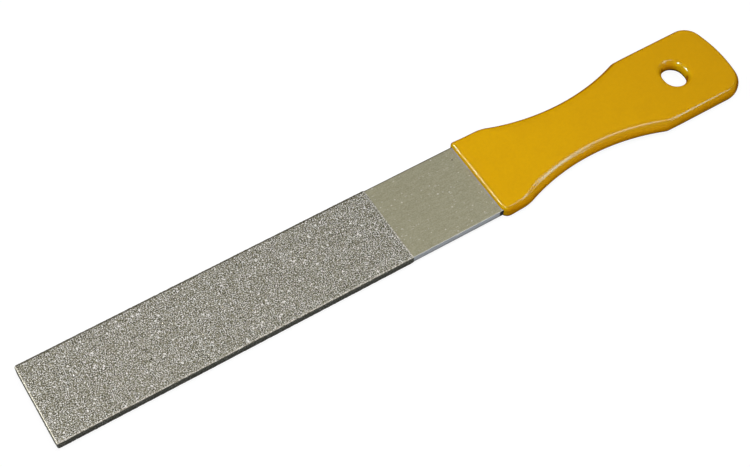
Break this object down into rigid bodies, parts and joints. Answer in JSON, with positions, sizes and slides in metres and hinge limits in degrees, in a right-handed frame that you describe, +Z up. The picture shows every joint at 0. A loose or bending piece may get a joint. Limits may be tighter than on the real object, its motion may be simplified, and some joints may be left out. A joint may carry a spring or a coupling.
{
  "type": "flat file",
  "caption": "Flat hand file with a diamond-plated working end, a bare steel shank and a dipped grip with a hang hole.",
  "frame": {"origin": "centre of the bounding box in plan, on the underside of the grip", "axes": "+X along the file from the tip towards the grip's end, +Z up off the flat faces, Y across the blade"},
  "size_m": [0.2562, 0.0326, 0.005],
  "materials": {
    "steel": "satin, brushed along the file",
    "nickel": "dull electroplated nickel",
    "diamond_grit": "rough, glittering grains",
    "grip_pvc": "glossy dip-moulded PVC"
  },
  "bodies": {
    "root": {"steel_blank": "steel", "nickel_bond_layer": "nickel", "diamond_grit_layer": "diamond_grit", "grip_sleeve": "grip_pvc"}
  },
  "joints": []
}
